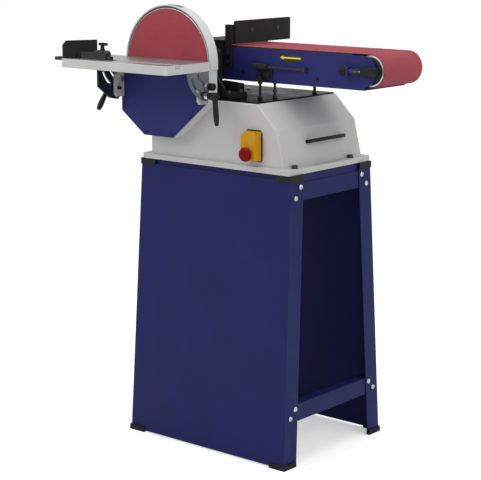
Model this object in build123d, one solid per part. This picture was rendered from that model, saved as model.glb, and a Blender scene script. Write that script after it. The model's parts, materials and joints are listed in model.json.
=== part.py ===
from build123d import *
import math
import os

# Belt and disc sander on a sheet-metal stand. Millimetres.
# +X runs along the sanding belt towards its nose, -Y is the disc (front) side, +Z is up.
# Dimensions are taken from the centre of the stand's footprint. save() then moves each
# part so that the origin is the middle of the machine's bounding box in X and Y, on the
# floor. "Near" parts lie on the -Y side and "far" parts on the +Y side.

os.makedirs("parts", exist_ok=True)

# ---------------------------------------------------------------- driving dimensions
# stand: the four sides lean inwards, from half sizes BASE_HALF at the floor
BASE_HALF_X, BASE_HALF_Y = 241.5, 189.5
TOP_HALF_X, TOP_HALF_Y = 228.0, 152.5
STAND_H = 680.0                        # underside of the machine housing
SHEET = 2.0
FLANGE = 46.0                          # side flange folded from each panel
PANEL_Z0, PANEL_Z1 = 4.0, 668.0
RAIL_UPPER = (620.5, 660.5)
RAIL_LOWER = (106.5, 146.5)
LIP_OUT = 4.4                          # offsets of the top lip from the panels' faces
LIP_IN = LIP_OUT + SHEET
LIP_TOP = STAND_H - 0.1
FOOT_OUT, CAP_OUT = 3.0, 2.0           # how far feet and caps stand out of the panels
# housing
BASE_X0, BASE_X1, BASE_HY = -224.0, 226.0, 156.5
WALL = 3.0
BODY_HY = 150.0
TOP_Z = 834.0                          # housing skin top, under the plate
PLATE_Z = TOP_Z + 3.0
SLOPE_TOP, SLOPE_FOOT = (184.0, 778.0), (205.0, 690.0)   # (x, z) of the right slope
BELT_PASSAGE = (-172, -69, -119, -91)  # x0, x1, y0, y1 of the V-belt's opening
# places (x, y) on the housing
HOUSING_BOLTS = [(214.0, -121), (214.0, 91), (-212, -121), (-212, 91)]
PEDESTAL_BOLTS = [(-190, -137), (-190, -84), (-48, -137), (18, -120), (18, -78)]
MOUNT_BOLTS = [(-168, -42), (-72, -42), (-168, 62), (-72, 62)]
STOP_BOLT = (95, -45)
BUMPER = (114, 82)
# drive line: axes along Y, as (x, z)
SHAFT_X, SHAFT_Z = -120.6, 916.5
SHAFT = (SHAFT_X, SHAFT_Z)
MOTOR = (SHAFT_X, 758.0)
SHAFT_R = 12.0
DRIVEN_PITCH_R, MOTOR_PITCH_R = 30.0, 40.0
PULLEY_Y0, PULLEY_Y1 = -112.0, -98.0
PULLEY_MID = (PULLEY_Y0 + PULLEY_Y1) / 2
# sanding belt; the idler's place follows from the belt length
BELT_Y0 = -60.5
BELT_Y1 = BELT_Y0 + 150.0
BELT_T = 1.2
BELT_RI = 36.3                         # inside radius of the loop at drum and idler
BELT_RO = BELT_RI + BELT_T
BELT_LEN = 1220.0
CENTRES = (BELT_LEN - 2 * math.pi * (BELT_RI + BELT_T / 2)) / 2
IDLER_X = SHAFT_X + CENTRES
IDLER = (IDLER_X, SHAFT_Z)
AXLE_R = 8.0
# belt frame
NEAR_Y0, NEAR_Y1 = -64.0, -62.0
FAR_Y0, FAR_Y1 = 94.0, 96.0
FRAME_Z0, FRAME_Z1 = 873.5, 950.0
TRACKING = (-76.0, 915)                # (y, z) of the tracking screw's axis
# disc and guard
DISC_R = 125.0
PLATE_R = DISC_R + 1.0
DISC_Y = -177.2                        # abrasive face
DISC_BACK_Y = -176.0
GUARD_WALL = 3.0
RING_RI = 129.5
RING_RO = RING_RI + GUARD_WALL
GUARD_X0, GUARD_X1 = -262.0, 9.0
GUARD_Y0, GUARD_Y1 = -183.0, -150.0
COVER_T = 2.0
DUST_PORT = (-234.0, 826.0)            # (x, z)
# disc table
TABLE_X0, TABLE_X1 = -317.0, 17.0
TABLE_Y0, TABLE_Y1 = -330.0, -180.0
TABLE_Z = 925.0
RIM_Z = 904.4
SLOT_Y, SLOT_W, SLOT_D = -292.0, 19.4, 8.2
TILT_Y, TILT_Z = -178.0, 915.0         # table tilt axis, along X
LOCK_R, GUIDE_R = 70.0, 48.0           # radii of the two arc slots about it
REST_ANGLE = 68.0                      # bolts lie this far down from -Y, in degrees
BRACKET_T = 8.0
TRUNNION_LEFT = (-269.0, -263.0)       # x spans of the two trunnion plates
TRUNNION_RIGHT = (10.0, 16.0)
# mitre gauge
BAR_X0 = -368.0
HEAD_X = -291.0                        # pivot of the head, over the slot
FENCE_ANGLE = 63.0                     # fence direction, degrees from +X

ORIGIN_X = (BAR_X0 + IDLER_X + BELT_RO) / 2
ORIGIN_Y = (TABLE_Y0 + BASE_HALF_Y + FOOT_OUT) / 2


# ---------------------------------------------------------------- helpers
# Boxes, cylinders and hexagons take their end coordinates in either order.
def box(x0, x1, y0, y1, z0, z1):
    middle = Pos((x0 + x1) / 2, (y0 + y1) / 2, (z0 + z1) / 2)
    return middle * Box(abs(x1 - x0), abs(y1 - y0), abs(z1 - z0))


def cyl_x(y, z, r, x0, x1):
    return Pos((x0 + x1) / 2, y, z) * Rot(0, 90, 0) * Cylinder(r, abs(x1 - x0))


def cyl_y(x, z, r, y0, y1):
    return Pos(x, (y0 + y1) / 2, z) * Rot(90, 0, 0) * Cylinder(r, abs(y1 - y0))


def cyl_z(x, y, r, z0, z1):
    return Pos(x, y, (z0 + z1) / 2) * Cylinder(r, abs(z1 - z0))


def prism(points, sweep_vector):
    """Closed polygon of 3-D points swept along a vector."""
    face = Face(Wire.make_polygon([Vector(*p) for p in points], close=True))
    along = Vector(*sweep_vector)
    return extrude(face, amount=along.length, dir=along.normalized())


def prism_x(points, x0, x1):
    return prism([(x0, y, z) for y, z in points], (x1 - x0, 0, 0))


def prism_y(points, y0, y1):
    return prism([(x, y0, z) for x, z in points], (0, y1 - y0, 0))


def prism_z(points, z0, z1):
    return prism([(x, y, z0) for x, y in points], (0, 0, z1 - z0))


def arc_points(centre, rx, rz, angles):
    return [(centre[0] + rx * math.cos(math.radians(a)),
             centre[1] + rz * math.sin(math.radians(a))) for a in angles]


def hexagon(u, v, flats):
    r = flats / math.sqrt(3)
    return arc_points((u, v), r, r, range(0, 360, 60))


def hex_x(y, z, flats, x0, x1):
    return prism_x(hexagon(y, z, flats), *sorted((x0, x1)))


def hex_y(x, z, flats, y0, y1):
    return prism_y(hexagon(x, z, flats), *sorted((y0, y1)))


def hex_z(x, y, flats, z0, z1):
    return prism_z(hexagon(x, y, flats), *sorted((z0, z1)))


def turn(points, axis):
    face = Face(Wire.make_polygon([Vector(*p) for p in points], close=True))
    return revolve(face, axis=axis, revolution_arc=360)


# Turned parts: the profile is a list of (radius, place along the axis).
def turned_x(y, z, profile):
    return turn([(x, y, z + r) for r, x in profile], Axis((0, y, z), (1, 0, 0)))


def turned_y(x, z, profile):
    return turn([(x + r, y, z) for r, y in profile], Axis((x, 0, z), (0, 1, 0)))


def turned_z(x, y, profile):
    return turn([(x + r, y, z) for r, z in profile], Axis((x, y, 0), (0, 0, 1)))


def drill_y(shape, places, r, y0, y1):
    for x, z in places:
        shape -= cyl_y(x, z, r, y0, y1)
    return shape


def drill_z(shape, places, r, z0, z1):
    for x, y in places:
        shape -= cyl_z(x, y, r, z0, z1)
    return shape


def loop_prism(c1, r1, c2, r2, y0, y1):
    """Hull of two circles in an XZ plane, swept along Y."""
    dx, dz = c2[0] - c1[0], c2[1] - c1[1]
    length = math.hypot(dx, dz)
    ux, uz = dx / length, dz / length
    s = (r1 - r2) / length
    c = math.sqrt(1 - s * s)
    right = (s * ux + c * uz, s * uz - c * ux)
    left = (s * ux - c * uz, s * uz + c * ux)

    def rim(centre, r, normal):
        return Vector(centre[0] + r * normal[0], y0, centre[1] + r * normal[1])

    right1, right2 = rim(c1, r1, right), rim(c2, r2, right)
    left1, left2 = rim(c1, r1, left), rim(c2, r2, left)
    end1 = rim(c1, r1, (-ux, -uz))
    end2 = rim(c2, r2, (ux, uz))
    outline = Wire([Edge.make_line(right1, right2),
                    Edge.make_three_point_arc(right2, end2, left2),
                    Edge.make_line(left2, left1),
                    Edge.make_three_point_arc(left1, end1, right1)])
    return extrude(Face(outline), amount=y1 - y0, dir=(0, 1, 0))


def try_fillet(shape, edges, r):
    """Rounds the edges."""
    # guards against a radius the kernel can't make: the edges are then left sharp
    try:
        out = fillet(edges, r)
        if out.is_valid and len(out.solids()) == len(shape.solids()):
            return out
    except Exception:
        pass
    return shape


def save(name, *shapes):
    solids = [Pos(-ORIGIN_X, -ORIGIN_Y, 0) * solid for s in shapes for solid in s.solids()]
    out = solids[0] if len(solids) == 1 else Compound(solids)
    export_step(out, f"parts/{name}.step")


# ---------------------------------------------------------------- stand
def half_x(z):
    return BASE_HALF_X - (BASE_HALF_X - TOP_HALF_X) * z / STAND_H


def half_y(z):
    return BASE_HALF_Y - (BASE_HALF_Y - TOP_HALF_Y) * z / STAND_H


def frustum(offset, z0, z1):
    """Solid between two heights, its sides set in from the panels' faces by offset."""
    sections = [Pos(0, 0, z) * Rectangle(2 * (half_x(z) - offset), 2 * (half_y(z) - offset))
                for z in (z0, z1)]
    return loft(sections, ruled=True)


# (z, distance in from the panel's front or back face) of the screws at each corner
SCREW_ROWS = ((652.0, 36.0), (628.0, 19.0), (137.5, 36.5), (119.0, 19.0))
# (side, y, z) of every screw
STAND_SCREWS = [(side, end * (half_y(z) - inset), z)
                for side in (-1, 1) for end in (-1, 1) for z, inset in SCREW_ROWS]


def make_screw_holes():
    holes = None
    for side, y, z in STAND_SCREWS:
        face_x = side * half_x(z)
        hole = cyl_x(y, z, 3.0, face_x - 14, face_x + 14)
        holes = hole if holes is None else holes + hole
    return holes


screw_holes = make_screw_holes()
shell = frustum(0, PANEL_Z0, PANEL_Z1) - frustum(SHEET, PANEL_Z0 - 1, PANEL_Z1 + 1)
# a shelf and a recessed lip along each panel's top edge close the slit under the housing
shelf = frustum(0, PANEL_Z1 - SHEET, PANEL_Z1) - frustum(LIP_IN, 665, 669)
lip = shelf + (frustum(LIP_OUT, 666, LIP_TOP) - frustum(LIP_IN, 665, 681))


def panel(side):
    """Front (-1) or back (1) panel with its side flanges."""
    wedge = prism_x([(side * (half_y(0) + 8), 0),
                     (side * (half_y(0) - FLANGE), 0),
                     (side * (half_y(STAND_H) - FLANGE), STAND_H),
                     (side * (half_y(STAND_H) + 8), STAND_H)], -300, 300)
    lip_band = box(-183, 183, side * 100, side * 300, 600, 700)
    return ((shell & wedge) - screw_holes) + (lip & lip_band)


def rail(span, side, has_lip):
    """Folded rail inside the left (-1) or right (1) flanges."""
    z0, z1 = span
    end_y = half_y(z1) - 9
    outside = frustum(SHEET + 0.1, z0, z1)
    web = outside - frustum(2 * SHEET + 0.1, z0 - 1, z1 + 1)
    part = web & box(150, 260, -end_y, end_y, z0 - 1, z1 + 1)
    strip = outside & box(half_x(z1) - 30, 260, -end_y, end_y, z0 - 1, z1 + 1)
    part = part + (strip & box(100, 260, -200, 200, z1 - SHEET, z1))
    if has_lip:
        upstand = frustum(LIP_OUT, z1 - SHEET, LIP_TOP) - frustum(LIP_IN, z1 - SHEET - 1, 681)
        part = part + (upstand & box(150, 260, -108, 108, 600, 700))
    if side < 0:
        part = mirror(part, about=Plane.YZ)
    return part - screw_holes


def corners(ring, reach_x, reach_y, z0, z1):
    """The four corner pieces of a ring."""
    return [ring & box(sx * (reach_x - 46), sx * (reach_x + 9),
                       sy * (reach_y - 46), sy * (reach_y + 9), z0, z1)
            for sx in (-1, 1) for sy in (-1, 1)]


def stand_screw(side, y, z):
    """Domed screw with its nut inside the rail."""
    screw = turned_x(y, z, [(0, -13.0), (2.6, -13.0), (2.6, -9.6), (4.6, -9.6), (4.6, -5.0),
                            (2.6, -5.0), (2.6, 0), (6.2, 0), (6.2, 0.9), (5.3, 2.2),
                            (3.4, 3.2), (0, 3.5)])
    screw = Pos(half_x(z) + 0.2, 0, 0) * screw
    return mirror(screw, about=Plane.YZ) if side < 0 else screw


save("front_panel", panel(-1))
save("back_panel", panel(1))
save("side_rails", *[rail(span, side, has_lip)
                     for span, has_lip in ((RAIL_UPPER, True), (RAIL_LOWER, False))
                     for side in (1, -1)])
# both rings have a groove that takes the edges of the sheet
foot_groove = frustum(-0.3, 3.7, 14) - frustum(2.3, 3.0, 15)
foot_ring = frustum(-FOOT_OUT, 0, 13) - frustum(6, -1, 14) - foot_groove
save("rubber_feet", *corners(foot_ring, half_x(0) + FOOT_OUT, half_y(0) + FOOT_OUT, -1, 20))
cap_groove = frustum(-0.3, 661, 668.3) - frustum(2.3, 660, 668.4)
cap_ring = frustum(-CAP_OUT, 664.5, STAND_H) - frustum(6, 660, 681) - cap_groove
save("corner_caps", *corners(cap_ring, half_x(670) + CAP_OUT, half_y(670) + CAP_OUT, 655, 690))
save("stand_screws", *[stand_screw(*place) for place in STAND_SCREWS])


# ---------------------------------------------------------------- housing
def make_housing():
    body = prism_y([(-200, 690), (-200, TOP_Z), (127, TOP_Z), SLOPE_TOP, SLOPE_FOOT],
                   -BODY_HY, BODY_HY)
    long_edges = [e for e in body.edges().filter_by(Axis.Y) if e.center().Z > 700]
    body = try_fillet(body, long_edges, 5)
    end_edges = [e for e in body.edges()
                 if abs(abs(e.center().Y) - BODY_HY) < 0.01 and e.center().Z > 695]
    body = try_fillet(body, end_edges, 3.5)
    base = box(BASE_X0, BASE_X1, -BASE_HY, BASE_HY, STAND_H, 693)
    base = try_fillet(base, base.edges().filter_by(Axis.Z), 6)
    base = try_fillet(base, base.edges().group_by(Axis.Z)[-1], 2)
    body_cavity = prism_y([(-197, 679), (-197, TOP_Z - WALL), (125.7, TOP_Z - WALL),
                           (181.4, 776.8), (201.9, 690), (201.9, 679)],
                          -BODY_HY + WALL, BODY_HY - WALL)
    base_cavity = box(BASE_X0 + 4, BASE_X1 - 4, -BASE_HY + 4, BASE_HY - 4, 679, 690)
    part = base + body - base_cavity - body_cavity
    part -= box(*BELT_PASSAGE, 825, 840)
    part = drill_z(part, HOUSING_BOLTS, 4.3, 670, 700)
    part = drill_z(part, PEDESTAL_BOLTS + MOUNT_BOLTS, 3.3, 820, 840)
    # cooling louvres in the back wall
    for i in range(7):
        z = 735 + i * 11
        part -= box(-165, -75, 140, 160, z, z + 4)
    # cable hole behind the switch
    part -= cyl_y(118, 735, 6, -160, -140)
    return drill_z(part, [STOP_BOLT, BUMPER], 4.2, 820, 840)


def make_top_plate():
    part = box(-202, 125.5, -146, 146, TOP_Z, PLATE_Z)
    part = try_fillet(part, part.edges().filter_by(Axis.Z), 4)
    part -= box(*BELT_PASSAGE, 830, 840)
    part = drill_z(part, PEDESTAL_BOLTS + MOUNT_BOLTS, 3.3, 820, 840)
    return drill_z(part, [STOP_BOLT, BUMPER], 4.2, 820, 840)


def housing_bolt(x, y):
    bolt = cyl_z(x, y, 8.0, 693.0, 694.6) + hex_z(x, y, 12.5, 694.6, 700.5)
    bolt += cyl_z(x, y, 4.0, 661, 694.6)
    bolt += hex_z(x, y, 12.5, 660.6, 666.5)
    return bolt


def make_side_handle():
    """Bow handle on the right slope."""
    handle_z = 744.0
    run, drop = SLOPE_FOOT[0] - SLOPE_TOP[0], SLOPE_TOP[1] - SLOPE_FOOT[1]
    handle_x = SLOPE_TOP[0] + run * (SLOPE_TOP[1] - handle_z) / drop
    lean = math.atan2(run, drop)
    # local x runs along Y, local -y points out of the slope
    plane = Plane(origin=(handle_x, 17, handle_z), x_dir=(0, 1, 0),
                  z_dir=(-math.sin(lean), 0, math.cos(lean)))
    outer = Spline((-71, 0), (-68.5, -10), (-57, -19.5), (-30, -25.5), (0, -27),
                   (30, -25.5), (57, -19.5), (68.5, -10), (71, 0))
    inner = Spline((52, 0), (48, -8.5), (28, -15.5), (0, -17.8),
                   (-28, -15.5), (-48, -8.5), (-52, 0))
    bow = make_face(Wire([outer, Line((71, 0), (52, 0)), inner, Line((-52, 0), (-71, 0))]))
    part = extrude(plane * bow, amount=4.3, both=True)
    return try_fillet(part, part.edges().filter_by(lambda e: e.length > 60), 2.2)


save("housing", make_housing())
save("top_plate", make_top_plate())
save("housing_bolts", *[housing_bolt(x, y) for x, y in HOUSING_BOLTS])
save("side_handle", make_side_handle())

# ---------------------------------------------------------------- switch
# (x, z) and radius of the two buttons
START, START_R = (118, 748), 7.0
STOP, STOP_R = (116, 722), 8.0


def make_switch_box():
    part = box(96, 141, -152, -150, 705, 773) + box(97, 140, -164, -151, 707, 771)
    part = try_fillet(part, part.edges().filter_by(Axis.Y), 3)
    part -= box(99, 138, -162, -149, 709, 769)
    part -= cyl_y(*START, START_R + 0.1, -170, -160) + cyl_y(*STOP, STOP_R + 0.1, -170, -160)
    return part


def make_switch_lid():
    x0, x1 = 96.5, 140.5
    part = prism_x([(-164.5, 707), (-169.5, 707), (-171.5, 709), (-171.5, 766),
                    (-170.5, 769.5), (-168.5, 771.5), (-164.5, 771.5)], x0, x1)
    part -= box(x0 + 2, x1 - 2, -169.5, -160, 700, 765)
    # rounded bead along the top edge
    part = part - box(90, 150, -165.9, -160, 764.9, 775) + cyl_x(-168.2, 768.2, 3.2, x0, x1)
    part -= cyl_y(*STOP, 5.2, -180, -160)
    # bevelled upper corners
    for side in (-1, 1):
        edge_x = (x0 + x1) / 2 + side * 22.0
        part -= prism_y([(edge_x + side, 762.0), (edge_x + side, 773.0),
                         (edge_x - side * 9.0, 773.0)], -172.5, -160.0)
    return part


save("switch_box", make_switch_box())
save("start_button", cyl_y(*START, START_R, -166.0, -157))
save("stop_button", cyl_y(*STOP, STOP_R, -165.8, -157))
save("switch_lid", make_switch_lid())
save("stop_paddle", turned_y(*STOP, [
    (0, -166.0), (5.0, -166.0), (5.0, -176.2), (15.0, -176.2), (16.4, -177.6),
    (16.4, -180.5), (15.2, -183.4), (12.0, -185.6), (7.0, -186.8), (0, -187.2)]))

# ---------------------------------------------------------------- pedestal
BEARING_RO = 26.0
GUARD_BOLTS = arc_points(SHAFT, 44, 44, (45, 135, 225, 315))


def make_pedestal():
    column = prism_y([(-200, PLATE_Z), (-200, 930), (-165, 962), (-76, 962), (-38, 940),
                      (-38, PLATE_Z)], -150, -76)
    foot = box(-39, 28, -131, -66, PLATE_Z, 849)
    near_rib = prism_y([(-39, 848), (24, 848), (-12, 887), (-39, 905)], -131, -123)
    far_rib = prism_y([(-39, 848), (20, 848), (20, 868), (-39, 872)], -78, -66)
    part = column + foot + near_rib + far_rib + cyl_y(*SHAFT, 32.0, -77, -61.9)
    # room for the pulley and V-belt, then the bearing seats and the shaft bore
    part -= box(-176, -62, -126, -90, 830, 956)
    part -= cyl_y(*SHAFT, BEARING_RO, -143, -126) + cyl_y(*SHAFT, BEARING_RO, -90, -64)
    part -= cyl_y(*SHAFT, 15.0, -160, -50)
    for x, y in PEDESTAL_BOLTS:
        part -= cyl_z(x, y, 3.3, 830, 853)
        part -= cyl_z(x, y, 8.4, 849, 975)
    return drill_y(part, GUARD_BOLTS, 3.05, -151, -132)


def pedestal_bolt(x, y):
    return (cyl_z(x, y, 7.0, 849.0, 850.2) + hex_z(x, y, 10, 850.2, 855.0) +
            cyl_z(x, y, 3.0, 826, 850) + hex_z(x, y, 10, 825.2, 830.8))


def guard_bolt(x, z):
    return cyl_y(x, z, 6.0, -156.0, -153.0) + cyl_y(x, z, 3.0, -154.0, -136.0)


def bearing(y0, y1):
    """Ball bearing as one ring, with a groove in each face between its races."""
    bore = SHAFT_R + 0.03
    middle = (bore + BEARING_RO) / 2
    r0, r1 = middle - 3, middle + 3
    return turned_y(*SHAFT, [
        (bore, y0), (r0, y0), (r0, y0 + 1.2), (r1, y0 + 1.2), (r1, y0), (BEARING_RO, y0),
        (BEARING_RO, y1), (r1, y1), (r1, y1 - 1.2), (r0, y1 - 1.2), (r0, y1), (bore, y1)])


save("pedestal", make_pedestal())
save("pedestal_bolts", *[pedestal_bolt(x, y) for x, y in PEDESTAL_BOLTS],
     *[guard_bolt(x, z) for x, z in GUARD_BOLTS])
save("shaft_bearings", bearing(-143, -128), bearing(-79, -64))

# ---------------------------------------------------------------- disc guard
# (x, z) of the screws that hold the cover
COVER_SCREWS = [(-254.1, 803), (-184, 749), (-104, 749), (-40, 797), (-5.0, 838)]


def guard_outline(top):
    """Lower box of the guard in XZ, counterclockwise, from its upper left corner."""
    return [(GUARD_X0, top), (GUARD_X0, 795), (-190, 741.5), (-98, 741.5),
            (GUARD_X1, 831.5), (GUARD_X1, top)]


def inset_polygon(points, distance):
    """Moves each edge of a convex, counterclockwise polygon inwards."""
    lines = []
    for (x1, z1), (x2, z2) in zip(points, points[1:] + points[:1]):
        length = math.hypot(x2 - x1, z2 - z1)
        nx, nz = -(z2 - z1) / length, (x2 - x1) / length
        lines.append((nx, nz, nx * x1 + nz * z1 + distance))
    out = []
    for i in range(len(lines)):
        a1, b1, c1 = lines[i - 1]
        a2, b2, c2 = lines[i]
        det = a1 * b2 - a2 * b1
        out.append(((c1 * b2 - c2 * b1) / det, (a1 * c2 - a2 * c1) / det))
    return out


def make_guard():
    outline = guard_outline(915)
    back = GUARD_Y1 - GUARD_WALL
    ring = cyl_y(*SHAFT, RING_RO, -177, GUARD_Y1) & box(-300, 100, -200, -100, 905, 1100)
    lower = prism_y(outline, GUARD_Y0, GUARD_Y1)
    ring_cavity = cyl_y(*SHAFT, RING_RI, -200, back) & box(-300, 100, -200, -100, 900, 1100)
    lower_cavity = prism_y(inset_polygon(outline, GUARD_WALL), -200, back)
    part = ring + lower - ring_cavity - lower_cavity
    # screw lugs, trimmed to the box
    for x, z in COVER_SCREWS:
        part += cyl_y(x, z, 5.5, GUARD_Y0, GUARD_Y1 - 1) & lower
    part = drill_y(part, COVER_SCREWS, 2.03, -184, -165)
    part -= cyl_y(*SHAFT, 34.0, -160, -140)
    part = drill_y(part, GUARD_BOLTS, 3.3, -160, -140)
    # the tilted table passes over the lower box's front lips
    part -= box(GUARD_X0 - 1, GUARD_X1 + 1, GUARD_Y0 - 1, -177.0, 909, 920)
    return part - cyl_y(*DUST_PORT, 23.0, -160, -140)


def make_disc_cover():
    part = prism_y(guard_outline(903), GUARD_Y0 - COVER_T, GUARD_Y0)
    part = try_fillet(part, part.edges().filter_by(Axis.Y), 3)
    return drill_y(part, COVER_SCREWS, 2.3, -190, -180)


save("guard_housing", make_guard())
save("disc_cover", make_disc_cover())
save("cover_screws", *[turned_y(x, z, [
    (0, -187.6), (2.8, -187.3), (4.2, -186.2), (4.2, -185.0), (2.0, -185.0),
    (2.0, -171.0), (0, -171.0)]) for x, z in COVER_SCREWS])
save("dust_port", turned_y(*DUST_PORT, [
    (23.0, -150.0), (27.8, -150.0), (27.8, -147.5), (25.0, -147.5), (25.0, -102.0),
    (24.0, -98.0), (23.0, -98.0)]))


# ---------------------------------------------------------------- table brackets, levers
def about_tilt(r, angle):
    """(y, z) at a radius from the tilt axis; the angle is measured down from -Y."""
    a = math.radians(angle)
    return TILT_Y - r * math.cos(a), TILT_Z - r * math.sin(a)


LOCK = about_tilt(LOCK_R, REST_ANGLE)
GUIDE = about_tilt(GUIDE_R, REST_ANGLE)
# x of the bracket's inner face and of the trunnion's outer face on each side
LEFT_FACES = (GUARD_X0 + BRACKET_T, TRUNNION_LEFT[0])
RIGHT_FACES = (GUARD_X1 - BRACKET_T, TRUNNION_RIGHT[1])


def bracket(x0, x1):
    part = prism_x([(-185, 829), (-185, 903), (-190, 903), (-203, 890), (-211, 882),
                    (-213, 878), (-213, 836), (-207, 829)], x0, x1)
    part -= cyl_x(*LOCK, 4.03, x0 - 1, x1 + 1) + cyl_x(*GUIDE, 3.53, x0 - 1, x1 + 1)
    return part


def guide_bolt(side, inner_x, outer_x):
    """Bolt through bracket and trunnion, with washer, head and nut."""
    bolt = cyl_x(*GUIDE, 3.5, inner_x - side * 6.0, outer_x + side * 1.6)
    bolt += cyl_x(*GUIDE, 8.0, outer_x + side * 0.05, outer_x + side * 1.6)
    bolt += hex_x(*GUIDE, 11, outer_x + side * 1.6, outer_x + side * 7.0)
    bolt += hex_x(*GUIDE, 11, inner_x - side * 6.0, inner_x)
    return bolt


def lever(side, inner_x, outer_x):
    """Clamping lever with its stud; turns about an axis along X."""
    # arm direction from the hub, and how far the hub is spaced off the trunnion
    dy, dz, spacing = (-26.0, -53.0, 0.0) if side < 0 else (2.0, -66.0, 12.0)
    stud = cyl_x(*LOCK, 4.0, inner_x - side * 7, outer_x + side * (6 + spacing))
    washer = cyl_x(*LOCK, 9.5, outer_x + side * 0.05, outer_x + side * 2.2)
    hub0 = outer_x + side * (2.2 + spacing)
    hub1 = outer_x + side * (28.0 + spacing)
    hub = turned_x(*LOCK, [(0, hub0), (7.5, hub0), (8.6, hub0 + side * 6),
                           (9.6, hub0 + side * 17), (9.6, hub0 + side * 24),
                           (8.0, hub1), (0, hub1)])
    length = math.hypot(dy, dz)
    uy, uz = dy / length, dz / length
    arm_x = outer_x + side * (20.0 + spacing)
    # arm stations: distance from the hub axis, radius in x, other radius, shift in x
    if side < 0:
        stations = ((0, 6.5, 7.5, 0), (22, 5.2, 5.6, -2.0),
                    (length - 6, 6.0, 6.2, -7.0), (length, 4.2, 4.4, -7.4))
    else:
        stations = ((0, 7.0, 7.5, 0), (22, 6.3, 6.2, 1.5),
                    (length - 3, 4.6, 4.7, 4.0), (length, 3.9, 4.0, 4.2))
    sections = []
    for distance, rx, ry, shift in stations:
        centre = (arm_x + shift, LOCK[0] + uy * distance, LOCK[1] + uz * distance)
        plane = Plane(origin=centre, x_dir=(1, 0, 0), z_dir=(0, uy, uz))
        sections.append(plane * Ellipse(rx, ry))
    return stud + washer + hub + loft(sections)


save("trunnion_brackets", bracket(GUARD_X0, GUARD_X0 + BRACKET_T),
     bracket(GUARD_X1 - BRACKET_T, GUARD_X1))
# spacer nut between the right washer and its lock lever
spacer_nut = (hex_x(*LOCK, 13, TRUNNION_RIGHT[1] + 2.3, TRUNNION_RIGHT[1] + 14.1) -
              cyl_x(*LOCK, 4.1, TRUNNION_RIGHT[1], TRUNNION_RIGHT[1] + 16))
save("guide_bolts", guide_bolt(-1, *LEFT_FACES), guide_bolt(1, *RIGHT_FACES), spacer_nut)
save("lock_lever_left", lever(-1, *LEFT_FACES))
save("lock_lever_right", lever(1, *RIGHT_FACES))


# ---------------------------------------------------------------- main shaft group
def make_drive_drum():
    """Crowned drum with a closed hollow inside."""
    part = turned_y(*SHAFT, [
        (SHAFT_R, -59.4), (24, -59.4), (24, -58.6), (35.4, -58.6), (35.8, -20), (36.2, 5),
        (36.2, 24), (35.8, 49), (35.4, 87.6), (24, 87.6), (24, 88.4), (SHAFT_R, 88.4)])
    part -= turned_y(*SHAFT, [(SHAFT_R + 8, -40), (29.5, -46), (29.5, 75), (SHAFT_R + 8, 69)])
    return part


def pulley(axis, pitch_r, bore, hub_end):
    """V-pulley whose hub runs on to hub_end in y."""
    rim, root = pitch_r + 3.2, pitch_r - 6
    return turned_y(*axis, [
        (bore, PULLEY_Y0), (rim, PULLEY_Y0), (rim, PULLEY_MID - 5.1),
        (root, PULLEY_MID - 3.4), (root, PULLEY_MID + 3.4), (rim, PULLEY_MID + 5.1),
        (rim, PULLEY_Y1), (bore + 8, PULLEY_Y1), (bore + 8, hub_end), (bore, hub_end)])


save("main_shaft", cyl_y(*SHAFT, SHAFT_R, -175.9, 97.5))
save("disc_plate", turned_y(*SHAFT, [
    (SHAFT_R, DISC_BACK_Y), (PLATE_R - 0.8, DISC_BACK_Y), (PLATE_R, -175.2),
    (PLATE_R, -168.8), (PLATE_R - 0.8, -168.0), (34, -168.0), (30, -166.0), (30, -158.0),
    (SHAFT_R, -158.0)]))
save("sanding_disc", cyl_y(*SHAFT, DISC_R, DISC_Y, DISC_BACK_Y))
save("drive_drum", make_drive_drum())
save("driven_pulley", pulley(SHAFT, DRIVEN_PITCH_R, SHAFT_R, -91.5))

# ---------------------------------------------------------------- motor
MOTOR_SHAFT_R, MOTOR_R = 9.0, 62.0


def v_belt_loop(offset, half_width):
    return loop_prism(SHAFT, DRIVEN_PITCH_R + offset, MOTOR, MOTOR_PITCH_R + offset,
                      PULLEY_MID - half_width, PULLEY_MID + half_width)


def make_motor_case():
    part = cyl_y(*MOTOR, MOTOR_R, -78, 104) - cyl_y(*MOTOR, 36.0, -72, 98)
    part -= cyl_y(*MOTOR, MOTOR_SHAFT_R + 0.05, -80, 106)
    # cooling fins round the underside
    for angle in range(200, 341, 10):
        part += Pos(MOTOR[0], 13, MOTOR[1]) * Rot(0, -angle, 0) * Pos(63.5, 0, 0) * \
            Box(5, 150, 2.2)
    return part


def make_motor_mount():
    part = (box(-176, -65, -52, 72, 824, TOP_Z - WALL) + box(-170, -71, -50, -34, 790, 826) +
            box(-170, -71, 54, 70, 790, 826))
    part -= cyl_y(*MOTOR, MOTOR_R, -60, 80)
    for x, y in MOUNT_BOLTS:
        part -= cyl_z(x, y, 3.3, 785, 840)
        part -= cyl_z(x, y, 7.5, 785, 822)
    return part


def mount_bolt(x, y):
    return (hex_z(x, y, 10, 818.2, 823.9) + cyl_z(x, y, 3.0, 819, 840) +
            cyl_z(x, y, 5.6, PLATE_Z, 840.5))


save("v_belt", v_belt_loop(2.6, 3.3) - v_belt_loop(-4.0, 4))
save("motor_pulley", pulley(MOTOR, MOTOR_PITCH_R, MOTOR_SHAFT_R, -92.0))
save("motor_rotor", turned_y(*MOTOR, [
    (0, -114.0), (MOTOR_SHAFT_R, -114.0), (MOTOR_SHAFT_R, -60.0), (34.0, -60.0),
    (34.0, 60.0), (MOTOR_SHAFT_R, 60.0), (MOTOR_SHAFT_R, 98.0), (0, 98.0)]))
save("motor_case", make_motor_case())
save("motor_mount", make_motor_mount(), *[mount_bolt(x, y) for x, y in MOUNT_BOLTS])

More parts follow.
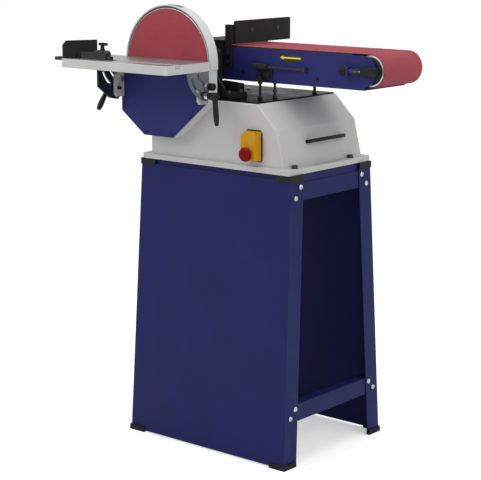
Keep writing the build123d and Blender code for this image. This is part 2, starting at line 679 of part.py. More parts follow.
# ---------------------------------------------------------------- rests for the belt arm
save("rubber_bumper", turned_z(*BUMPER, [
    (0, 828.0), (4.0, 828.0), (4.0, 837.0), (6.5, 837.0), (6.5, 840.0), (3.6, 841.0),
    (3.6, 856.0), (5.6, 857.5), (7.3, 861.0), (7.8, 865.5), (7.2, 870.0), (5.2, 872.6),
    (0, 873.2)]))
save("stop_bolt", cyl_z(*STOP_BOLT, 4.0, 826, 838) + cyl_z(*STOP_BOLT, 3.2, 837, 872.4) +
     cyl_z(*STOP_BOLT, 4.6, 870.2, 873.2) + hex_z(*STOP_BOLT, 11, PLATE_Z, 841.5) +
     hex_z(*STOP_BOLT, 10, 851.0, 856.0))

# ---------------------------------------------------------------- belt frame
# (x, z) of holes in the side plates
BOTH_SIDE_SCREWS = [(15.0, 896.0), (232.0, 891.0)]
FAR_SCREWS = [(6.0, 938.0), (294.0, 938.0)]
REST_BOLTS = [(70.0, 893.0), (93.0, 893.0)]
SHROUD_SCREWS = [(-56.0, 944.0), (-56.0, 930.0), (-56.0, 905.0), (-56.0, 890.0)]
CLAMP_X, CLAMP_ZS = -27.0, (915.0, 935.0)
CLAMP_SCREWS = [(CLAMP_X, z) for z in CLAMP_ZS]
TENSION = (198, 910)


def frame_side(y0, y1):
    nose = arc_points((355, 915), 37.3, 35.0, range(90, -81, -6))
    part = prism_y([(SHAFT_X, FRAME_Z0), (SHAFT_X, 959.5), (SHAFT_X + 20, FRAME_Z1)] + nose +
                   [(361, 880.3), (361, FRAME_Z0)], y0, y1)
    part += cyl_y(*SHAFT, 43.0, y0, y1)
    return part


def make_belt_frame():
    bore = SHAFT_R + 0.05
    bottom = box(-62, 361, NEAR_Y0, FAR_Y1, FRAME_Z0, FRAME_Z0 + 2)
    part = frame_side(NEAR_Y0, NEAR_Y1) + frame_side(FAR_Y0, FAR_Y1) + bottom
    part -= cyl_y(*SHAFT, 32.06, -70, -60)
    part -= cyl_y(*SHAFT, bore, 90, 100)
    part += (cyl_y(*SHAFT, 20, 96, 104) - cyl_y(*SHAFT, bore, 90, 110))
    # slots in which the idler axle slides
    slot_r = AXLE_R + 0.08
    part -= (box(IDLER_X - 8.0, IDLER_X, -70, 110, SHAFT_Z - slot_r, SHAFT_Z + slot_r) +
             cyl_y(*IDLER, slot_r, -70, 110) +
             cyl_y(IDLER_X - 8.0, SHAFT_Z, slot_r, -70, 110))
    # lug that takes the tracking screw
    part += box(322, 328, -83, -63, 905, 925) + cyl_x(*TRACKING, 5.1, 327, 335.2)
    part -= cyl_x(*TRACKING, 3.1, 300, 340)
    for x, z in BOTH_SIDE_SCREWS:
        part -= cyl_y(x, z, 2.6, -70, -60) + cyl_y(x, z, 2.6, 90, 100)
    part = drill_y(part, FAR_SCREWS, 2.6, 90, 100)
    part = drill_y(part, REST_BOLTS, 3.2, -70, -60)
    for x, z in SHROUD_SCREWS:
        part -= cyl_y(x, z, 2.6, -70, -60) + cyl_y(x, z, 2.6, 90, 100)
    part = drill_y(part, CLAMP_SCREWS, 3.2, -70, -60)
    return part - cyl_y(*TENSION, 6.05, -70, -60)


def make_platen():
    """Plate under the upper run of the belt, with the bars that carry it."""
    part = box(-52, 326, -60.0, 88.5, 948.0, 952.6)
    top_edges = [e for e in part.edges().filter_by(Axis.Y) if e.center().Z > 950]
    part = try_fillet(part, top_edges, 3)
    part += (box(0, 12, NEAR_Y1, FAR_Y0, 928, 947.9) +
             box(288, 300, NEAR_Y1, FAR_Y0, 928, 947.9) +
             box(0, 12, -58, 86, 940, 950) + box(288, 300, -58, 86, 940, 950))
    part += box(9, 21, NEAR_Y1, FAR_Y0, 889, 901) + box(226, 238, NEAR_Y1, FAR_Y0, 885, 897)
    # posts from the lower bars up to the plate: middle x, foot z
    for x, foot_z in ((15.0, 890), (232.0, 885)):
        part += box(x - 4, x + 4, -20, 50, foot_z, 948.5)
    for x, z in BOTH_SIDE_SCREWS:
        part -= cyl_y(x, z, 2.03, -63, -48) + cyl_y(x, z, 2.03, 80, 95)
    return drill_y(part, FAR_SCREWS, 2.03, 80, 95)


def make_drum_shroud():
    """Shroud round the drum end of the belt."""
    ro, ri = 49.0, 46.6
    drum_end = box(-200, SHAFT_X, -100, 110, 860, 980)
    outer = cyl_y(*SHAFT, ro, -66.6, 99.0) & drum_end
    outer += prism_y([(SHAFT_X - 1, SHAFT_Z), (SHAFT_X - 1, SHAFT_Z + ro), (-42, SHAFT_Z + ro),
                      (-42, 884), (-62, 876), (-62, 884), (SHAFT_X - 1, 884)], -66.6, 99.0)
    inner = cyl_y(*SHAFT, ri, -64.0, 96.2) & drum_end
    inner += prism_y([(SHAFT_X - 2, 860), (SHAFT_X - 2, SHAFT_Z + ri), (-30, SHAFT_Z + ri),
                      (-30, 860)], -64.0, 96.2)
    part = outer - inner - cyl_y(*SHAFT, 33.0, -70, -60) - cyl_y(*SHAFT, 21.0, 90, 110)
    part -= box(-140, -30, -63.9, 96.1, 860, 900)
    part -= box(-90, -30, -67, -60, 860, 884)
    for x, z in SHROUD_SCREWS:
        part -= cyl_y(x, z, 2.6, -70, -60) + cyl_y(x, z, 2.6, 90, 110)
    return part


def side_screw(x, z, face_y, outward):
    """Domed screw through a side plate; outward is -1 or 1 in y."""
    profile = ((0, 2.6), (3.0, 2.4), (4.4, 1.2), (4.4, 0), (2.0, 0), (2.0, -14.0), (0, -14.0))
    return turned_y(x, z, [(r, face_y + outward * rise) for r, rise in profile])


def make_frame_screws():
    screws = []
    for x, z in BOTH_SIDE_SCREWS:
        screws.append(side_screw(x, z, NEAR_Y0, -1))
        screws.append(side_screw(x, z, FAR_Y1, 1))
    for x, z in FAR_SCREWS:
        screws.append(side_screw(x, z, FAR_Y1, 1))
    for x, z in SHROUD_SCREWS:
        screws.append(hex_y(x, z, 8, -70.2, -66.6) + cyl_y(x, z, 2.4, -67, -61.4))
        screws.append(hex_y(x, z, 8, 99.0, 102.6) + cyl_y(x, z, 2.4, 93.4, 99.5))
    # clamp screws of the work stop's bracket
    for x, z in CLAMP_SCREWS:
        screws.append(hex_y(x, z, 10, -76.6, -72.4) + cyl_y(x, z, 6.4, -72.4, -71.05) +
                      cyl_y(x, z, 3.0, -72, -56) + hex_y(x, z, 10, -61.95, -57))
    return screws


def make_rest_bracket():
    """Rest bracket on the near side plate, its levelling screw and its bolts."""
    level = (76, -76)
    bracket_ = box(60, 104, -67.5, NEAR_Y0 - 0.05, 880, 902)
    bracket_ += box(66, 86, -84, -66, 876.5, 880.5)
    bracket_ = drill_y(bracket_, REST_BOLTS, 3.2, -70, -60)
    bracket_ -= cyl_z(*level, 3.05, 870, 890)
    screw = (cyl_z(*level, 3.0, 838.2, 888) + cyl_z(*level, 6.0, 837.2, 841.5) +
             hex_z(*level, 10, 871.2, 876.5) + hex_z(*level, 10, 880.5, 885.0))
    bolts = [hex_y(x, z, 10, -72.0, -67.5) + cyl_y(x, z, 3.0, -68, -56) +
             hex_y(x, z, 10, -62.0, -57) for x, z in REST_BOLTS]
    return [bracket_, screw, *bolts]


save("belt_frame", make_belt_frame())
save("sanding_belt", loop_prism(SHAFT, BELT_RO, IDLER, BELT_RO, BELT_Y0, BELT_Y1) -
     loop_prism(SHAFT, BELT_RI, IDLER, BELT_RI, BELT_Y0 - 1, BELT_Y1 + 1))
save("platen", make_platen())
save("drum_shroud", make_drum_shroud())
save("frame_screws", *make_frame_screws())
save("rest_bracket", *make_rest_bracket())


# ---------------------------------------------------------------- idler
def make_axle_blocks():
    near = box(IDLER_X - 12, IDLER_X + 24.5, -84, NEAR_Y0 - 0.15, 907.3, 925.7)
    near = try_fillet(near, near.edges().filter_by(Axis.Y), 3)
    near -= cyl_y(*IDLER, AXLE_R, -72.0, -60)
    near -= cyl_x(*TRACKING, 3.1, IDLER_X - 13, IDLER_X + 5)
    far = box(IDLER_X - 12, IDLER_X + 14, FAR_Y1 + 0.15, 106, 904.5, 928.5)
    far -= cyl_y(*IDLER, AXLE_R, 90, 104)
    far = try_fillet(far, far.edges().filter_by(Axis.Y), 3)
    return near, far


def make_idler_roller():
    """Crowned roller with a closed hollow inside."""
    bore = AXLE_R + 0.05
    part = turned_y(*IDLER, [
        (bore, -59.4), (24, -59.4), (24, -58.4), (34.2, -58.4), (35.6, -57.0), (35.8, -20),
        (36.2, 5), (36.2, 24), (35.8, 49), (35.6, 86.2), (34.2, 87.6), (24, 87.6),
        (24, 88.4), (bore, 88.4)])
    part -= turned_y(*IDLER, [(18, -42), (29.5, -46), (29.5, 75), (18, 71)])
    return part


def make_tension_spring():
    coil = Helix(pitch=4.0, height=24.0, radius=6.8, center=(335.9, *TRACKING),
                 direction=(1, 0, 0))
    wire_section = Plane(origin=coil @ 0, z_dir=coil % 0) * Circle(1.15)
    return sweep(wire_section, path=coil)


def make_tension_lever():
    """Quick-release lever on the near side plate."""
    part = (cyl_y(*TENSION, 6.0, -70.5, -58) + cyl_y(*TENSION, 4.6, -74, -70.0) +
            box(80, 198, -73.0, -70.0, 907.3, 912.7))
    # two overlapping discs inside the plate make an eccentric
    return part + cyl_y(*TENSION, 9.0, -61.9, -52) + cyl_y(203, 910, 9.0, -61.9, -52.1)


def make_lever_grip():
    part = box(55, 94, -77.0, -66.5, 903.5, 917.5)
    part = try_fillet(part, part.edges().filter_by(Axis.X), 4)
    return part - box(79.9, 200, -73.05, -69.95, 907.25, 912.75)


save("idler_axle", cyl_y(*IDLER, AXLE_R, -72.0, 104.0))
save("axle_blocks", *make_axle_blocks())
save("idler_roller", make_idler_roller())
# knob and screw that steer the belt
save("tracking_knob", turned_x(*TRACKING, [
    (0, 306.0), (9.6, 306.0), (11.0, 307.4), (11.0, 320.4), (9.6, 321.8), (3.0, 321.8),
    (3.0, 368.0), (0, 368.0)]))
save("tension_spring", make_tension_spring())
save("tension_lever", make_tension_lever())
save("lever_grip", make_lever_grip())

# ---------------------------------------------------------------- work stop
STOP_SCREWS = [(-1.0, 988), (97.0, 988)]   # (y, z)


def make_work_stop():
    part = box(-15, -9, -62, 144.5, 958, 1011)
    part = try_fillet(part, part.edges().filter_by(Axis.X), 4)
    for y, z in STOP_SCREWS:
        part -= cyl_x(y, z, 3.2, -16, -8)
        part -= Pos(-10.4, y, z) * Rot(0, 90, 0) * Cone(3.2, 6.0, 2.9)
    return part


def make_stop_bracket():
    part = box(-19, -15, -62, 128, 958, 1002)
    part += box(-34, -15, -71.0, -66.8, 905, 1002) + box(-34, -15, -67, -61.9, 958, 1002)
    # upright slots below the clamp screws
    for x, z in CLAMP_SCREWS:
        part -= (box(x - 3.2, x + 3.2, -72, -66, z - 11, z) + cyl_y(x, z, 3.2, -72, -66) +
                 cyl_y(x, z - 11, 3.2, -72, -66))
    for y, z in STOP_SCREWS:
        part -= cyl_x(y, z, 3.05, -20, -14)
    return part


def stop_screw(y, z):
    """Countersunk screw with its nut."""
    head = Pos(-10.6, y, z) * Rot(0, 90, 0) * Cone(3.0, 5.3, 2.5)
    return cyl_x(y, z, 3.0, -19.0, -11.8) + head + hex_x(y, z, 10, -24.0, -19.0)


save("work_stop", make_work_stop())
save("stop_bracket", make_stop_bracket())
save("stop_screws", *[stop_screw(y, z) for y, z in STOP_SCREWS])

# ---------------------------------------------------------------- disc table
TABLE_SCREWS = [(-284, -228), (-284, -252), (-6, -250), (-6, -264)]   # (x, y)


def make_disc_table():
    x0, x1, y0 = TABLE_X0, TABLE_X1, TABLE_Y0
    part = box(x0, x1, y0, TABLE_Y1, 917, TABLE_Z)
    # downturned rim
    part += (box(x0, x1, y0, y0 + 8, RIM_Z, 918) + box(x0, x0 + 8, y0, -184, RIM_Z, 918) +
             box(x1 - 6, x1, y0, -205, RIM_Z, 918) + box(12.3, x1, -206, -184, RIM_Z, 918))
    front_corners = [e for e in part.edges().filter_by(Axis.Z) if e.center().Y < -300
                     and (e.center().X < x0 + 1 or e.center().X > x1 - 1)]
    part = try_fillet(part, front_corners, 5)
    # thickening under the mitre slot, then ribs
    part += box(x0 + 1, x1 - 1, -312, -272, 908, 918)
    for x in (-230, -150, -70):
        part += box(x - 3, x + 3, y0 + 2, -205, 908, 918)
    part -= box(x0 - 2, x1 + 2, SLOT_Y - SLOT_W / 2, SLOT_Y + SLOT_W / 2,
                TABLE_Z - SLOT_D, TABLE_Z + 2)
    part = drill_z(part, TABLE_SCREWS, 2.55, 916, 922)
    front_edge = [e for e in part.edges() if e.center().Z > TABLE_Z - 0.01
                  and e.center().Y < y0 + 0.5 and e.length > 200]
    return try_fillet(part, front_edge, 1.2)


def arc_slot(r, half_width, x0, x1):
    """Arc-shaped cut about the tilt axis."""
    a0, a1, steps = REST_ANGLE - 46.2, REST_ANGLE + 1.2, 26
    angles = [a0 + (a1 - a0) * i / steps for i in range(steps + 1)]
    outer = [about_tilt(r + half_width, a) for a in angles]
    inner = [about_tilt(r - half_width, a) for a in angles]
    slot = prism_x(outer + inner[::-1], x0, x1)
    for a in (a0, a1):
        slot += cyl_x(*about_tilt(r, a), half_width, x0, x1)
    return slot


def finish_trunnion(part, span):
    """Cuts the two arc slots and the screw holes."""
    for r, half_width in ((LOCK_R, 4.2), (GUIDE_R, 3.8)):
        part -= arc_slot(r, half_width, span[0] - 1, span[1] + 1)
    return drill_z(part, TABLE_SCREWS, 2.7, 900, 918)


def make_left_trunnion():
    part = prism_x([(-261, 917), (-261, 856), (-223, 827), (-197, 822), (-187, 830),
                    (-187, 905), (-192, 917)], *TRUNNION_LEFT)
    part += box(-299, TRUNNION_LEFT[1], -261, -215, 909, 917)
    return finish_trunnion(part, TRUNNION_LEFT)


def make_right_trunnion():
    top = 904.3
    arc = [about_tilt(80.0, 7.0 + (76.0 - 7.0) * i / 30) for i in range(31)]
    arc = [p for p in arc if p[1] <= top + 0.01]
    part = prism_x([(arc[0][0], top)] + arc + [(-187, 840), (-187, top)], *TRUNNION_RIGHT)
    part += (box(-14, 10, -271, -242, 909, 917) + box(4, 10, -271, -242, 903.5, 917) +
             box(4, 12, -257, -242, 898, top))
    part -= box(3, 9.99, -260, -240, 890, 903.4)
    return finish_trunnion(part, TRUNNION_RIGHT)


save("disc_table", make_disc_table())
save("table_trunnions", make_left_trunnion(), make_right_trunnion())
save("table_screws", *[cyl_z(x, y, 2.5, 906, 921.8) + cyl_z(x, y, 4.4, 904.6, 909)
                       for x, y in TABLE_SCREWS])

# ---------------------------------------------------------------- mitre gauge
KNOB = (-218, SLOT_Y)
HEAD_Z = TABLE_Z + 0.6


def make_miter_bar():
    y0, y1 = SLOT_Y - 9.0, SLOT_Y + 9.0
    foot_z = TABLE_Z - 1
    part = box(BAR_X0, -192, SLOT_Y - 9.5, SLOT_Y + 9.5, TABLE_Z - 8.0, TABLE_Z - 0.2)
    part += box(-280.5, -238, y0, y1, foot_z, 940)
    part += prism_y([(-239, foot_z), (-239, 942), (-235, 946), (-205, 946), (-200, 941),
                     (-200, foot_z)], y0, y1)
    part += box(-201, -190, SLOT_Y - 6.0, SLOT_Y + 6.0, foot_z, 933)
    return part - cyl_z(*KNOB, 3.05, 930, 950)


def make_miter_head():
    """Fence, pivot boss and half-round plate."""
    ux, uy = math.cos(math.radians(FENCE_ANGLE)), math.sin(math.radians(FENCE_ANGLE))
    # local x along the fence, local y up
    plane = Plane(origin=(HEAD_X, SLOT_Y, HEAD_Z), x_dir=(ux, uy, 0), z_dir=(uy, -ux, 0))
    outline = Polyline((-42, 0), (42, 0), (42, 40.5), (-33, 40.5), (-42, 30), close=True)
    fence = extrude(plane * make_face(outline), amount=-6.0)
    part = fence + cyl_z(HEAD_X, SLOT_Y, 9.5, HEAD_Z, 941)
    half_round = arc_points((HEAD_X, SLOT_Y), 37, 37,
                            [FENCE_ANGLE + a for a in range(0, 181, 6)])
    part += prism_z(half_round, HEAD_Z, TABLE_Z + 5.0)
    return part


def make_miter_knob():
    part = cyl_z(*KNOB, 3.0, 931, 950) + turned_z(*KNOB, [
        (0, 946.3), (6.5, 946.3), (5.0, 950), (4.2, 957), (6.0, 962), (6.0, 963.5), (0, 964.5)])
    part += cyl_x(SLOT_Y, 960.4, 3.4, -227.5, -203.5)
    return part


save("miter_bar", make_miter_bar())
save("miter_head", make_miter_head())
save("miter_knob", make_miter_knob())
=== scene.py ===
"""Looks, labels and studio for a belt and disc sander on a stand.

The machine stands on the floor at z = 0, Z up. The belt runs along X and the disc faces -Y.
Front means -Y and right means +X. Pieces are laid out in millimetres and built in metres.
"""

from functools import cached_property
import bmesh
import bpy
import json
import math
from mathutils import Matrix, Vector


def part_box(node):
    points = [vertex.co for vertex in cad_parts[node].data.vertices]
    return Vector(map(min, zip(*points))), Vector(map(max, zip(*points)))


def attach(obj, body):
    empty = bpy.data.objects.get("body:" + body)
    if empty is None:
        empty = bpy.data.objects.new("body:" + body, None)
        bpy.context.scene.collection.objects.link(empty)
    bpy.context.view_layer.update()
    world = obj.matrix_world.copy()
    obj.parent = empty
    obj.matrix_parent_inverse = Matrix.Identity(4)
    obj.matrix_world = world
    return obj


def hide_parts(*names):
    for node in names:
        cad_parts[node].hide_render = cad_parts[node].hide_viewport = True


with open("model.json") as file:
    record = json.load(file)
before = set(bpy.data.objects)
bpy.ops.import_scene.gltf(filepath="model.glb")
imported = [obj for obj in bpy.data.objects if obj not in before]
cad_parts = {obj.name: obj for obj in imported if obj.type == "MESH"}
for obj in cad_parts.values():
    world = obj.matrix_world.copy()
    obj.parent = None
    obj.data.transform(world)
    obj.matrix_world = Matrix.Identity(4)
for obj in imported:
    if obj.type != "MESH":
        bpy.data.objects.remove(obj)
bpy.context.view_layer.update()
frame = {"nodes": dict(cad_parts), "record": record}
MM = 0.001

# From the centre of the stand, where most pieces are laid out, to the row frame's origin (mm)
SHIFT = (-21.4876, 68.75, 0.0)
NO_SHIFT = (0.0, 0.0, 0.0)

AXIS_Z = 916.5                      # height of the roller axis and of the guard ring's centre
ROLLER_X = 373.475
ROLLER_WEB_RADIUS = 0.0312          # metres, the dark web inside the roller's rim
GUARD_X, GUARD_RADIUS = -120.6, 132.5
PIVOT_Y, PIVOT_Z = -178.0, 915.0    # tilt centre of the table
PLATE_Y = -64.0                     # front face of the belt arm's front plate
SWITCH_WALL_Y = -150.02             # wall behind the switch
LABEL_THICKNESS = 0.22


def linear(*srgb):
    """sRGB 0-255 to linear."""
    channels = [value / 255.0 for value in srgb]
    return tuple(c / 12.92 if c <= 0.04045 else ((c + 0.055) / 1.055) ** 2.4 for c in channels)


def lighter(rgb, gain, lift):
    return tuple(min(1, c * gain + lift) for c in rgb)


# ------------------------------------------------------------------ shader nodes
SURFACE_INPUTS = {
    "color": "Base Color", "rough": "Roughness", "metal": "Metallic", "normal": "Normal",
    "coat": "Coat Weight", "coat_rough": "Coat Roughness", "spec": "Specular IOR Level",
    "glow": "Emission Color", "glow_strength": "Emission Strength",
}


class Shader:
    """One material. Methods add nodes and return an output socket; inputs are values or sockets."""

    def __init__(self, name):
        self.material = bpy.data.materials.new(name)
        self.material.use_nodes = True
        self.tree = self.material.node_tree
        self.tree.nodes.clear()
        output = self.node("OutputMaterial")
        self.surface = self.node("BsdfPrincipled")
        self.tree.links.new(self.surface.outputs[0], output.inputs[0])

    @cached_property
    def coord(self):
        return self.node("TexCoord").outputs["Object"]

    @cached_property
    def normal(self):
        return self.node("NewGeometry").outputs["Normal"]

    def put(self, socket, value):
        if isinstance(value, bpy.types.NodeSocket):
            self.tree.links.new(value, socket)
            return
        if hasattr(value, "__len__") and len(value) < len(socket.default_value):
            value = (*value, 1.0)       # a colour socket also takes alpha
        socket.default_value = value

    def node(self, kind, inputs=None, **settings):
        node = self.tree.nodes.new("ShaderNode" + kind)
        for name, value in settings.items():
            setattr(node, name, value)
        for key, value in (inputs or {}).items():
            self.put(node.inputs[key], value)
        return node

    def math(self, operation, *values):
        return self.node("Math", dict(enumerate(values)), operation=operation).outputs[0]

    def add(self, a, b):
        return self.math("ADD", a, b)

    def subtract(self, a, b):
        return self.math("SUBTRACT", a, b)

    def times(self, a, b):
        return self.math("MULTIPLY", a, b)

    def scale(self, vector, factor):
        """Component-wise product, for colours and coordinates."""
        inputs = {0: vector, 1: factor}
        return self.node("VectorMath", inputs, operation="MULTIPLY").outputs[0]

    def ramp(self, value, span, onto=(0.0, 1.0)):
        """Smooth step that carries span onto another range."""
        inputs = dict(enumerate((value, *span, *onto)))
        return self.node("MapRange", inputs, interpolation_type="SMOOTHSTEP").outputs[0]

    def noise(self, scale, detail=2.0, rough=0.5, coord=None, distortion=0.0):
        return self.node("TexNoise", {
            "Vector": coord or self.coord, "Scale": scale, "Detail": detail,
            "Roughness": rough, "Distortion": distortion}).outputs[0]

    def mottle(self, scale, detail=2.0, rough=0.5, span=(0.3, 0.7), onto=(0.0, 1.0), **more):
        return self.ramp(self.noise(scale, detail, rough, **more), span, onto)

    def voronoi(self, scale, output="Distance"):
        node = self.node("TexVoronoi", {"Vector": self.coord, "Scale": scale}, feature="F1")
        return node.outputs[output]

    def mix(self, factor, a, b):
        return self.node("Mix", {0: factor, 6: a, 7: b}, data_type="RGBA").outputs[2]

    def bevel(self, radius):
        """Normal rounded over edges; radius in mm."""
        return self.node("Bevel", {"Radius": radius * MM}, samples=4).outputs[0]

    def edges(self, radius):
        """The rounded normal, and how far it turns from the true one (0 away from edges)."""
        rounded_normal = self.bevel(radius)
        inputs = {0: rounded_normal, 1: self.normal}
        dot = self.node("VectorMath", inputs, operation="DOT_PRODUCT").outputs["Value"]
        return rounded_normal, self.subtract(1.0, dot)

    def bump(self, height, strength, distance, normal=None):
        inputs = {"Strength": strength, "Distance": distance, "Height": height}
        if normal is not None:
            inputs["Normal"] = normal
        return self.node("Bump", inputs).outputs[0]

    def axis(self, index, vector=None):
        return self.node("SeparateXYZ", {0: vector or self.coord}).outputs[index]

    def finish(self, **values):
        for key, value in values.items():
            self.put(self.surface.inputs[SURFACE_INPUTS[key]], value)
        return self.material


# ------------------------------------------------------------------ kinds of material
# In these functions var is the tone variation and radius the edge rounding in mm.
def painted(name, rgb, rough=0.4, edge=None, edge_amount=0.35, radius=0.8, peel=0.10,
            peel_scale=850, var=0.07, spec=0.16, dust=0.02, dust_rgb=(0.30, 0.30, 0.29),
            left_painted_shade_rgb=None):
    """Paint over metal: orange peel, cloudy tone, paler edges that are partly rubbed wear and
    partly a painted highlight, a little dust on top.

    The colour given for the left, if any, is painted shade: it stands in for the table's shadow and
    is used left of x = -0.175 m.
    """
    s = Shader(name)
    normal, turn = s.edges(radius)
    tone = s.mottle(scale=7, detail=3, rough=0.55, onto=(1 - var, 1 + var))
    fleck = s.mottle(scale=1600, detail=1, onto=(0.965, 1.035))
    color = s.scale(rgb, s.times(tone, fleck))
    patches = s.mottle(scale=55, detail=4, rough=0.6, span=(0.38, 0.66), onto=(0.25, 1.0))
    # Paler edges: partly rubbed paint, partly a painted highlight
    edge_wear_and_highlight = s.times(s.ramp(turn, span=(0.015, 0.16)), patches)
    edge = edge or lighter(rgb, gain=1.7, lift=0.02)
    color = s.mix(s.times(edge_wear_and_highlight, edge_amount), color, edge)
    up = s.ramp(s.axis(2, s.normal), span=(0.55, 0.98))
    dust_patches = s.mottle(scale=24, detail=5, rough=0.6, span=(0.35, 0.7))
    color = s.mix(s.times(s.times(up, dust), dust_patches), color, dust_rgb)
    smudge = s.mottle(scale=16, detail=5, rough=0.62, distortion=0.4,
                      span=(0.35, 0.68), onto=(-0.05, 0.07))
    polish = s.times(edge_wear_and_highlight, -0.06)
    coarse_peel = s.times(s.noise(scale=peel_scale * 0.22), 0.7)
    height = s.add(s.noise(scale=peel_scale), coarse_peel)
    # Painted shade: left of x = -0.175 m the colour turns darker, for the table's shadow on the
    # left trunnion
    if left_painted_shade_rgb:
        left = s.ramp(s.axis(0), span=(-0.18, -0.17), onto=(1.0, 0.0))
        color = s.mix(left, color, s.scale(left_painted_shade_rgb, tone))
    return s.finish(color=color, rough=s.add(s.add(rough, smudge), polish),
                    normal=s.bump(height, peel, distance=0.00025, normal=normal),
                    coat=0.0, coat_rough=0.12, spec=spec)


def plastic(name, rgb, rough=0.45, grain=0.16, grain_scale=1500, radius=0.6, edge_gain=1.5,
            spec=0.24, var=0.08):
    """Moulded plastic with a spark-eroded grain and slightly polished edges, paler in colour partly
    from wear and partly as a painted highlight.
    """
    s = Shader(name)
    normal, turn = s.edges(radius)
    color = s.scale(rgb, s.mottle(scale=30, detail=4, rough=0.6, onto=(1 - var, 1 + var)))
    # Paler edges: partly wear, partly a painted highlight
    edge_wear_and_highlight = s.times(s.ramp(turn, span=(0.02, 0.2)),
                   s.mottle(scale=120, detail=3, span=(0.35, 0.65), onto=(0.3, 1)))
    color = s.mix(s.times(edge_wear_and_highlight, 0.4), color, lighter(rgb, gain=edge_gain, lift=0.01))
    polished = s.subtract(rough, s.times(edge_wear_and_highlight, 0.12))
    smudge = s.mottle(scale=45, detail=4, onto=(-0.04, 0.05))
    return s.finish(color=color, rough=s.add(polished, smudge), spec=spec,
                    normal=s.bump(s.voronoi(grain_scale), grain, distance=0.0002, normal=normal))


def rubber(name, rgb):
    """Rubber with a pale, duller bloom in patches."""
    s = Shader(name)
    normal = s.bevel(radius=0.8)
    bloom = s.mottle(scale=38, detail=5, rough=0.65, span=(0.42, 0.72))
    pale = tuple(c * 2.4 + 0.012 for c in rgb)
    pebbles = s.times(s.voronoi(scale=420), 0.5)
    height = s.add(s.noise(scale=900, detail=3, rough=0.6), pebbles)
    return s.finish(color=s.mix(s.times(bloom, 0.35), rgb, pale),
                    rough=s.ramp(bloom, span=(0, 1), onto=(0.62, 0.8)), spec=0.16,
                    normal=s.bump(height, strength=0.3, distance=0.0003, normal=normal))


def metal(name, rgb, rough, stretch, marks=0.25, scale=60, metallic=1.0, stain=0.12,
          radius=0.4, hollow=None):
    """Machined, plated or rolled metal.

    stretch draws the tool marks out along the axis that holds the small number.
    hollow is the x, z and radius in metres of a cast web left dark inside the machined rim.
    """
    s = Shader(name)
    normal, turn = s.edges(radius)
    line = s.noise(scale=scale, detail=4, rough=0.65, coord=s.scale(s.coord, stretch))
    cloud = s.noise(scale=40, detail=4, rough=0.6)
    tone = s.times(s.ramp(line, span=(0.3, 0.7), onto=(0.86, 1.1)),
                   s.ramp(cloud, span=(0.35, 0.7), onto=(1.0, 1 - stain)))
    # Paler edges: partly wear, partly a painted highlight
    edge_wear_and_highlight = s.ramp(turn, span=(0.02, 0.2))
    color = s.mix(s.times(edge_wear_and_highlight, 0.45), s.scale(rgb, tone), lighter(rgb, gain=1.35, lift=0.05))
    roughness = s.add(s.ramp(line, span=(0.25, 0.75), onto=(rough - 0.07, rough + 0.1)),
                      s.ramp(cloud, span=(0.4, 0.7), onto=(0, 0.08)))
    if hollow:
        center_x, center_z, web_radius = hollow
        dx = s.subtract(s.axis(0), center_x)
        dz = s.subtract(s.axis(2), center_z)
        distance = s.math("SQRT", s.add(s.times(dx, dx), s.times(dz, dz)))
        rim = (web_radius - 0.0008, web_radius + 0.0004)
        inside = s.ramp(distance, span=rim, onto=(1.0, 0.0))
        color = s.mix(inside, color, (0.012, 0.012, 0.013))
        roughness = s.math("MAXIMUM", roughness, s.times(inside, 0.6))
        metallic = s.ramp(inside, span=(0, 1), onto=(metallic, 0.1))
    return s.finish(color=color, rough=roughness, metal=metallic,
                    normal=s.bump(line, marks, distance=0.00015, normal=normal))


def abrasive(name, rgb, pale, run_attribute=None):
    """Coated aluminium oxide: resin colour, pale and dark grains, faint running streaks.

    run_attribute names the belt's attribute of arc length and y; it also draws the splice.
    """
    s = Shader(name)
    run = s.coord
    if run_attribute:
        run = s.node("Attribute", attribute_name=run_attribute).outputs["Vector"]
    grain_scale = 2600
    grain = s.voronoi(grain_scale)
    tint = s.axis(0, s.voronoi(grain_scale, output="Color"))
    color = s.mix(s.ramp(tint, span=(0.45, 0.95)), rgb, pale)
    dark = tuple(c * 0.35 for c in rgb)
    color = s.mix(s.times(s.ramp(tint, span=(0.22, 0.0)), 0.55), color, dark)
    # Dense across the second coordinate, so the streaks run along the first
    streak_coord = s.scale(run, (6, 420, 6))
    streak = s.mottle(scale=1.0, detail=4, rough=0.6, coord=streak_coord, span=(0.48, 0.72))
    color = s.mix(s.times(streak, 0.25), color, lighter(rgb, gain=1.22, lift=0.015))
    cloud = s.mottle(scale=13, detail=4, rough=0.6, onto=(0.94, 1.06))
    if run_attribute:
        # Slanted splice of the loop: a thin, slightly darker line
        splice_start, splice_slant = 0.33, 0.75
        offset = s.subtract(s.subtract(s.axis(0, run), splice_start),
                            s.times(s.axis(1, run), splice_slant))
        splice = s.ramp(s.math("ABSOLUTE", offset), span=(0.0004, 0.0030), onto=(0.86, 1.0))
        cloud = s.times(cloud, splice)
    height = s.add(s.ramp(grain, span=(0.0, 0.7), onto=(1.0, 0.0)),
                   s.times(s.noise(scale=900, detail=3), 0.6))
    return s.finish(color=s.scale(color, cloud), spec=0.12,
                    rough=s.ramp(tint, span=(0, 1), onto=(0.72, 0.9)),
                    normal=s.bump(height, strength=0.45, distance=0.00035))


def cloth(name, rgb):
    """Woven backing of the abrasive."""
    s = Shader(name)
    thread_rate = 5200      # radians per metre
    waves = [s.math("SINE", s.times(s.axis(i), thread_rate)) for i in (0, 1)]
    weave = s.times(*waves)
    color = s.mix(s.ramp(weave, span=(-0.6, 0.6)), tuple(c * 0.75 for c in rgb), rgb)
    color = s.scale(color, s.mottle(scale=40, detail=4, onto=(0.9, 1.08)))
    return s.finish(color=color, rough=0.85, spec=0.25,
                    normal=s.bump(weave, strength=0.4, distance=0.0002))


